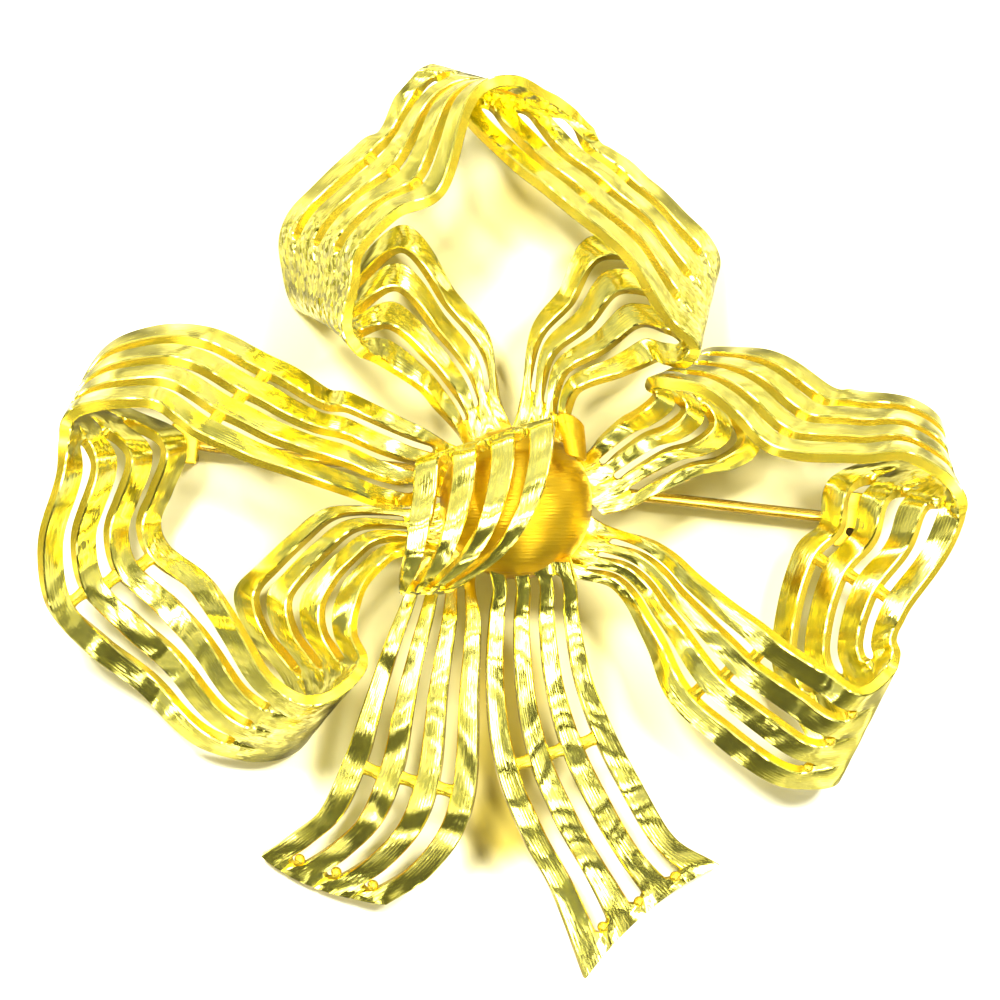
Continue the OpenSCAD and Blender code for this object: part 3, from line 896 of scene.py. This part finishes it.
def metal(name, colour, deep, roughness, lines, grain, depth=None, metallic=1.0, on_ribbon=False):
    """A gold: the Engraving group's height feeds a Bump, and its tone mixes the colour with a
    deeper one and changes the roughness a little. A satin skin scatters the share that metallic
    leaves. On a ribbon the pattern follows the ribbon's own map, and the Facets group is added."""
    material = bpy.data.materials.get(name)
    if material:
        return material
    material, tree, shader = new_material(name)
    shader["Metallic"].default_value = metallic
    if on_ribbon:
        vector = node(tree, "UVMap", {}, uv_map="Ribbon").outputs["UV"]
    else:
        place = node(tree, "TexCoord", {}).outputs["Object"]
        vector = node(tree, "Mapping", {"Vector": place, "Scale": (1 / MM,) * 3}).outputs["Vector"]
    inputs = {"Vector": vector, "Lines": lines, "Grain": grain}
    group = node(tree, "Group", inputs, node_tree=engraving_group()).outputs
    tone = math_node(tree, "MULTIPLY_ADD", group["Tone"], TONE_GAIN, TONE_OFFSET, clamp=True)
    tree.links.new(mix_colour(tree, tone, (*colour, 1.0), (*deep, 1.0)), shader["Base Color"])
    tree.links.new(math_node(tree, "MULTIPLY_ADD", tone, TONE_ROUGH, roughness), shader["Roughness"])
    deepest = (depth or finish().line_depth) * MM
    inputs = {"Strength": 1.0, "Distance": deepest, "Height": group["Height"]}
    normal = node(tree, "Bump", inputs).outputs["Normal"]
    if on_ribbon:
        mark = node(tree, "Attribute", {}, attribute_name="hammered").outputs["Fac"]
        tangent = node(tree, "Tangent", {}, direction_type="UV_MAP", uv_map="Ribbon").outputs["Tangent"]
        speckle = math_node(tree, "MULTIPLY_ADD", mark, HAMMERED_SPECKLE, PLAIN_SPECKLE)
        inputs = {"Vector": vector, "Normal": normal, "Tangent": tangent, "Lean": FACET_LEAN,
                  "Waves": WAVE_LEAN, "Speckle": speckle}
        normal = node(tree, "Group", inputs, node_tree=facets_group()).outputs["Normal"]
    tree.links.new(normal, shader["Normal"])
    return material


def engraved_gold():
    """Bright gold with lines along the ribbon."""
    return metal("Engraved gold", finish().gold, (0.93, 0.83, 0.10), roughness=0.12, lines=1.0,
                 grain=0.35, on_ribbon=True)


def cast_gold_painted_shade():
    """The satin gold of the walls, bars and beads, deeper in colour: painted shade, and the painted golden
    light that the gold throws between the strips.
    """
    return metal("Cast gold with painted shade", finish().cast_gold_painted_shade, (0.86, 0.58, 0.025), roughness=0.22, lines=0.2,
                 grain=0.5, metallic=0.88)


def brushed_gold():
    """The hub's gold, brushed across."""
    return metal("Brushed gold", (0.58, 0.36, 0.014), (0.60, 0.35, 0.008), roughness=0.33,
                 lines=1.2, grain=0.6, depth=0.02, metallic=0.95)


def wire_gold():
    """The pin's gold: drawn wire, a little browner."""
    return metal("Wire gold", (0.84, 0.60, 0.10), (0.66, 0.42, 0.06), roughness=0.22, lines=0.6,
                 grain=0.3)


def hollow_painted_shade():
    """Painted shade: the dark colour of a thin disc that stands for the inside of the small hollow in the
    hinge block.
    """
    return metal("Hollow painted shade", (0.10, 0.07, 0.02), (0.05, 0.03, 0.01), roughness=0.6, lines=0.2,
                 grain=0.5)


class BOW_OT_loops(bpy.types.Operator):
    """Builds the three folded loops"""

    bl_idname = "bow.loops"
    bl_label = "Loops"

    def execute(self, context):
        for name in ("loop_top", "loop_left", "loop_right"):
            ribbon_piece(name)
        return {"FINISHED"}


class BOW_OT_tails(bpy.types.Operator):
    """Builds the two ribbon tails"""

    bl_idname = "bow.tails"
    bl_label = "Tails"

    def execute(self, context):
        for name in ("tail_left", "tail_right"):
            ribbon_piece(name)
        return {"FINISHED"}


def on_hub(rows):
    """Rows given from the hub's centre in ribbon widths, as shares of the layout."""
    out = np.array(rows, float)
    out[:, 0] = (HUB_X + out[:, 0] * RIBBON_W) / LAYOUT
    out[:, 1] = (HUB_Y + out[:, 1] * RIBBON_W) / LAYOUT
    return out


class BOW_OT_knot(bpy.types.Operator):
    """Builds the knot's band and its curled end"""

    bl_idname = "bow.knot"
    bl_label = "Knot"

    def execute(self, context):
        s = sizes()
        band = openwork(Ribbon(on_hub(KNOT), s.steps), KNOT_SLITS, thick=s.thick,
                        chamfer=s.chamfer, crown=s.crown, notch=0.06, notch_run=0.4, wave=0.015)
        put("knot_band_piece", [band], [engraved_gold(), cast_gold_painted_shade()], "knot_band")
        curl = openwork(Ribbon(on_hub(CURL), s.steps), thick=0.6, chamfer=0.12, crown=0.02, strips=1)
        put("knot_curl_piece", [curl], [brushed_gold(), cast_gold_painted_shade()], "knot_curl")
        return {"FINISHED"}


class BOW_OT_hub(bpy.types.Operator):
    """Builds the domed hub"""

    bl_idname = "bow.hub"
    bl_label = "Hub"

    def execute(self, context):
        low = ROOT_Z - RIM_H / 2
        corner = 0.3 * RIM_ROUND
        w = np.linspace(0, np.pi / 2, 28)
        dome = np.stack([HUB_R * np.cos(w), low + RIM_H + DOME_H * np.sin(w)], 1)
        rim = [[0, low], [HUB_R - RIM_ROUND, low], [HUB_R - corner, low + corner],
               [HUB_R, low + RIM_ROUND]]
        verts, *faces = turned(np.concatenate([rim, dome[:-1], [[0, dome[-1, 1]]]]))
        hub = plain_part(0, verts + [HUB_X, HUB_Y, 0], *faces)
        put("hub_dome", [hub], [brushed_gold()], "hub")
        return {"FINISHED"}


def stem_frame():
    """The hinge's place, the way along the stem, the hinge's axis and up, in millimetres."""
    along = np.append(CATCH - HINGE, 0.0)
    reach = np.linalg.norm(along)
    along = along / reach
    up = np.array([0, 0, 1.0])
    return np.append(HINGE, STEM_Z), along, np.cross(up, along), up, reach


def tube(path_x, radii, sides=32):
    """A round rod along the stem's frame, closed at both ends by a point."""
    origin, along, side, up, _ = stem_frame()
    verts, *faces = turned(np.stack([radii, path_x], 1), sides)
    return origin + verts @ np.stack([side, up, along]), *faces


def ring_about_axis(inner_r, outer_r, half_w, bevel, sides=64):
    """The stem's eye: a ring about the hinge's axis whose section is a rectangle with cut corners."""
    origin, along, side, up, _ = stem_frame()
    r = np.array([inner_r, inner_r + bevel, outer_r - bevel, outer_r, outer_r, outer_r - bevel,
                  inner_r + bevel, inner_r])
    y = np.array([-half_w + bevel, -half_w, -half_w, -half_w + bevel, half_w - bevel, half_w, half_w,
                  half_w - bevel])
    w = np.linspace(0, 2 * np.pi, sides, endpoint=False)[:, None]
    pts = (origin + (np.cos(w) * r)[..., None] * along + (np.sin(w) * r)[..., None] * up
           + np.broadcast_to(y, (sides, len(y)))[..., None] * side)
    i = np.arange(sides)[:, None]
    j = np.arange(len(y))[None]
    i, i2, j2 = i * len(y), (i + 1) % sides * len(y), (j + 1) % len(y)
    return pts.reshape(-1, 3), np.stack([i + j, i + j2, i2 + j2, i2 + j], -1).reshape(-1, 4)


def bevelled_copy(node_name, name, material):
    """A copy of a CAD node with its doubles merged and its edges rounded by a Bevel."""
    work = bmesh.new()
    work.from_mesh(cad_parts[node_name].data)
    bmesh.ops.remove_doubles(work, verts=work.verts, dist=1e-6)
    bmesh.ops.dissolve_limit(work, angle_limit=math.radians(FLAT_ANGLE), verts=work.verts, edges=work.edges)
    mesh = bpy.data.meshes.new(name)
    work.to_mesh(mesh)
    work.free()
    obj = placed(name, mesh)
    bevel = obj.modifiers.new("Bevel", "BEVEL")
    bevel.width = PLAIN_BEVEL * MM
    bevel.segments = 3
    bevel.limit_method = "ANGLE"
    bevel.angle_limit = math.radians(BEVEL_ANGLE)
    own(obj, [material], [node_name])


class BOW_OT_pin(bpy.types.Operator):
    """Builds the pin stem, the hinge block and the catch"""

    bl_idname = "bow.pin"
    bl_label = "Pin and catch"

    def execute(self, context):
        _, _, side, _, reach = stem_frame()
        straight = np.linspace(STEM_OUT, reach - TAPER, 12)
        tip = np.linspace(0, 1, 9)[1:]
        xs = [STEM_START, STEM_START, *straight, *(reach - TAPER + 2 * TAPER * tip), reach + TAPER]
        rs = [0, STEM_R, *np.full(len(straight), STEM_R), *(STEM_R + (POINT_R - STEM_R) * tip), 0]
        eye = ring_about_axis(RIVET_R + EYE_PLAY, EYE_R, EYE_W / 2, EYE_BEVEL)
        parts = [plain_part(0, *tube(xs, rs)), plain_part(0, *eye)]
        put("pin_stem_wire", parts, [wire_gold()], "pin_stem", body="stem")
        for name in ("hinge_block", "catch_hook"):
            bevelled_copy(name, name + "_piece", cast_gold_painted_shade())
        # A thin dark disc sunk into the block's top: the hollow's painted shade.
        hollow, *faces = turned(HOLLOW, 24)
        hollow = hollow + np.append(HINGE + side[:2] * HOLLOW_ASIDE, BLOCK_H - HOLLOW_SINK)
        put("hinge_hollow_shade", [plain_part(0, hollow, *faces)], [hollow_painted_shade()])
        return {"FINISHED"}


# The stage, in metres: half the floor's side and its height, and the point that the lights face.
FLOOR_HALF = 0.9
FLOOR_Z = -2e-5
AIM = (0.0, 0.0, 0.006)
KEY_SIDE = 0.19
KEY_COLOUR = (1.0, 0.99, 0.95)
KEY_PLACES = {"right key": (0.42, 0.32, 0.64), "left key": (-0.22, 0.38, 0.70)}
SENSOR = 36.0
LENS = 216.0


def key_light(name, place, power):
    """An area light at a place, turned towards AIM. It lights the floor; what the metal mirrors is
    the room."""
    data = bpy.data.lights.new(name, "AREA")
    data.shape = "RECTANGLE"
    data.size = data.size_y = KEY_SIDE
    data.energy = power
    data.color = KEY_COLOUR
    obj = placed(name, data)
    obj.location = place
    obj.rotation_euler = (Vector(AIM) - Vector(place)).to_track_quat("-Z", "Y").to_euler()
    obj.visible_glossy = False


# Patches of the room that the metal mirrors: the middle's angle from the x axis and its height,
# the radius and how soft the rim is, all in degrees, and the brightness.
ROOM_PATCHES = [
    (90, 10, 26, 8, 1.10),
    (20, 10, 12, 3, 1.00),
    (150, 12, 12, 3, 1.00),
    (212, 10, 9, 3, 0.95),
    (330, 10, 12, 3, 0.95),
    (256, 28, 31, 3, 0.14),
    (238, 12, 13, 3, 0.13),
    (248, 24, 4, 2, 8.0),
    (224, 2, 5, 2, 8.0),
    (325, 57, 11, 2, 0.13),
    (11, 66, 8, 2, 0.26),
    (128, 56, 8, 2, 0.28),
    (336, 36, 11, 2, 0.20),
    (162, 34, 9, 2, 0.26),
    (32, 44, 7, 2, 0.26),
    (232, 68, 5, 2, 12.0),
    (278, 68, 7, 2, 12.0),
    (284, 22, 5, 2, 12.0),
    (334, 74, 7, 2, 12.0),
    (300, 45, 7, 2, 12.0),
    (180, 46, 9, 2, 14.0),
    (63, 32, 9, 2, 14.0),
    (96, 6, 9, 2, 12.0),
    (356, 50, 7, 2, 12.0),
    (206, 46, 4, 2, 12.0),
    (24, 8, 7, 2, 10.0),
    (154, 12, 7, 2, 10.0),
    (56, 64, 8, 2, 10.0),
    (120, 74, 5, 2, 8.0),
    (100, 54, 6, 2, 10.0),
    (100, 80, 5, 2, 0.30),
    (264, 82, 8, 2, 12.0),
    (300, 75, 5, 2, 0.32),
    (190, 72, 6, 2, 0.34),
]
# The room's dark band at the horizon, its brightness above that band and the degrees between
# which it changes; the tone from which a patch is bright, and the blue of bright and of dark ones;
# how uneven the room is, and the size of that noise.
BAND_COLOUR = (0.28, 0.28, 0.28 * 0.8, 1.0)
ABOVE_COLOUR = (0.80, 0.77, 0.68, 1.0)
BAND_TOP = (17, 21)
BRIGHT_FROM = 0.5
BRIGHT_BLUE = 0.97
DARK_BLUE = 0.60
ROOM_DOUBLINGS = 3.0
ROOM_CELLS = 3.5
# What lights the floor, and what the camera sees behind it.
SOFT_LIGHT = (0.62, 0.59, 0.44, 1.0)
BACKDROP = (1.0, 1.0, 0.99, 1.0)


def room():
    """The room's light as the metal mirrors it: an uneven background, dark at the horizon, with
    dark and bright patches, each by the direction's cosine to its middle. The floor gets a plain
    soft light and the camera sees a plain backdrop."""
    world = bpy.data.worlds.new("Studio")
    bpy.context.scene.world = world
    world.use_nodes = True
    tree = world.node_tree
    shade = tree.nodes["Background"].inputs
    way = node(tree, "TexCoord", {}).outputs["Generated"]
    above = ramp(tree, split_node(tree, way)["Z"], *np.sin(np.radians(BAND_TOP)).tolist())
    colour = mix_colour(tree, above, BAND_COLOUR, ABOVE_COLOUR)
    for azimuth, height, radius, rim, tone in ROOM_PATCHES:
        az, up = math.radians(azimuth), math.radians(height)
        middle = (math.cos(az) * math.cos(up), math.sin(az) * math.cos(up), math.sin(up))
        cosine = vector_node(tree, "DOT_PRODUCT", way, middle)
        outer, inner = (math.cos(math.radians(radius + half)) for half in (rim / 2, -rim / 2))
        blue = tone * (BRIGHT_BLUE if tone > BRIGHT_FROM else DARK_BLUE)
        colour = mix_colour(tree, ramp(tree, cosine, outer, inner), colour, (tone, tone, blue, 1.0))
    colour = uneven(tree, colour, noise_node(tree, way, ROOM_CELLS, rough=0.6), ROOM_DOUBLINGS)
    ray = node(tree, "LightPath", {}).outputs
    colour = mix_colour(tree, ray["Is Glossy Ray"], SOFT_LIGHT, colour)
    colour = mix_colour(tree, ray["Is Camera Ray"], colour, BACKDROP)
    tree.links.new(colour, shade["Color"])
    shade["Strength"].default_value = 1.0
    world.cycles.sampling_method = "NONE"


# Painted light and shade on the floor: pools of the golden light that the gold throws on it, and golden
# shadows between and beside the tails and in the top loop. Each has its middle, where it is full and where
# it ends, in metres, and the colour.
PAINTED_FLOOR_LIGHT_AND_SHADE = [
    (0.0, 0.0, 0.024, 0.045, (0.96, 0.94, 0.72)),
    (0.0, 0.0, 0.017, 0.034, (0.79, 0.72, 0.35)),
    (0.0005, 0.017, 0.001, 0.005, (0.94, 0.90, 0.62)),
    (-0.0200, -0.0010, 0.001, 0.006, (0.94, 0.90, 0.62)),
    (0.0155, -0.0030, 0.001, 0.005, (0.80, 0.74, 0.40)),
    # Painted golden shadows on the floor between the tails.
    (0.0002, -0.0140, 0.0015, 0.0050, (0.50, 0.39, 0.08)),
    (0.0004, -0.0190, 0.0015, 0.0055, (0.47, 0.37, 0.07)),
    (0.0002, -0.0245, 0.0015, 0.0050, (0.47, 0.37, 0.07)),
    # A painted golden shadow beside the right tail, and one in the top loop.
    (0.0105, -0.0130, 0.001, 0.007, (0.80, 0.71, 0.32)),
    (0.0015, 0.0225, 0.001, 0.004, (0.74, 0.64, 0.26)),
]
MOTTLE_COLOUR = (0.92, 0.91, 0.81, 1.0)
MOTTLE_CELLS = 60.0
# The floor as the metal mirrors it, a painted reflection much darker than the paper: its colour near the
# bow and far from it, the distances in metres between which it changes, how uneven it is, and the size of
# that noise.
PAINTED_MIRROR_NEAR = (0.25, 0.24, 0.20, 1.0)
PAINTED_MIRROR_FAR = (0.07, 0.07, 0.045, 1.0)
PAINTED_MIRROR_FADE = (0.042, 0.080)
PAINTED_MIRROR_DOUBLINGS = 8.0
PAINTED_MIRROR_CELLS = 260.0


def floor_material():
    """Pale paper: a faint mottle, and painted golden light and painted golden shadows that fade with the
    distance from their middles. The metal mirrors it as a painted reflection, dimmer, and darker far away."""
    material, tree, shader = new_material("Pale floor")
    shader["Roughness"].default_value = 0.85
    shader["Specular IOR Level"].default_value = 0.2
    place = node(tree, "TexCoord", {}).outputs["Object"]
    paper = (*bpy.context.scene.bow_stage.floor, 1.0)
    colour = mix_colour(tree, noise_node(tree, place, MOTTLE_CELLS, detail=3.0), paper, MOTTLE_COLOUR)
    for x, y, inner, outer, tone in PAINTED_FLOOR_LIGHT_AND_SHADE:
        far = vector_node(tree, "DISTANCE", place, (x, y, 0.0))
        colour = mix_colour(tree, ramp(tree, far, outer, inner), colour, (*tone, 1.0))
    # Painted reflection: glossy rays see this dark, uneven colour in place of the paper.
    far = ramp(tree, vector_node(tree, "LENGTH", place), *PAINTED_MIRROR_FADE)
    painted_mirror = mix_colour(tree, far, PAINTED_MIRROR_NEAR, PAINTED_MIRROR_FAR)
    painted_mirror = uneven(tree, painted_mirror, noise_node(tree, place, PAINTED_MIRROR_CELLS), PAINTED_MIRROR_DOUBLINGS)
    ray = node(tree, "LightPath", {}).outputs
    colour = mix_colour(tree, ray["Is Glossy Ray"], colour, painted_mirror)
    tree.links.new(colour, shader["Base Color"])
    return material


class BOW_OT_stage(bpy.types.Operator):
    """Builds the floor, the lights and the camera"""

    bl_idname = "bow.stage"
    bl_label = "Stage"

    def execute(self, context):
        stage = context.scene.bow_stage
        mesh = bpy.data.meshes.new("floor")
        corners = [(-1, -1), (1, -1), (1, 1), (-1, 1)]
        mesh.from_pydata([(x * FLOOR_HALF, y * FLOOR_HALF, FLOOR_Z) for x, y in corners], [], [range(4)])
        mesh.materials.append(floor_material())
        placed("floor", mesh)
        for name, place in KEY_PLACES.items():
            key_light(name, place, stage.key)
        room()
        data = bpy.data.cameras.new("camera")
        data.sensor_width = SENSOR
        data.lens = LENS
        data.clip_start = 0.01
        data.clip_end = 10.0
        camera = placed("camera", data)
        camera.location = (0.0, 0.0, stage.camera_z)
        context.scene.camera = camera
        context.scene.view_settings.view_transform = "Standard"
        return {"FINISHED"}


class BOW_PT_panel(bpy.types.Panel):
    """Lists the bow's pieces and sizes"""

    bl_idname = "BOW_PT_panel"
    bl_label = "Ribbon bow"
    bl_space_type = "VIEW_3D"
    bl_region_type = "UI"
    bl_category = "Bow"

    def draw(self, context):
        layout = self.layout
        for group in (context.scene.bow_sizes, context.scene.bow_finish, context.scene.bow_stage):
            box = layout.box()
            for key in group.bl_rna.properties.keys():
                if key not in ("rna_type", "name"):
                    box.prop(group, key)
        for operator in OPERATORS:
            layout.operator(operator.bl_idname)


OPERATORS = (BOW_OT_stage, BOW_OT_loops, BOW_OT_tails, BOW_OT_knot, BOW_OT_hub, BOW_OT_pin)
GROUPS = {"bow_sizes": BowSizes, "bow_finish": BowFinish, "bow_stage": BowStage}
CLASSES = (*GROUPS.values(), *OPERATORS, BOW_PT_panel)


def register():
    """Registers the classes and puts the property groups on the scene."""
    for cls in CLASSES:
        bpy.utils.register_class(cls)
    for key, group in GROUPS.items():
        setattr(bpy.types.Scene, key, PointerProperty(type=group))


def unregister():
    """Takes back what register did."""
    for key in GROUPS:
        delattr(bpy.types.Scene, key)
    for cls in reversed(CLASSES):
        bpy.utils.unregister_class(cls)


def main():
    """Registers the add-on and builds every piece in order."""
    register()
    bpy.ops.bow.stage()
    bpy.ops.bow.loops()
    bpy.ops.bow.tails()
    bpy.ops.bow.knot()
    bpy.ops.bow.hub()
    bpy.ops.bow.pin()


if __name__ == "__main__":
    main()
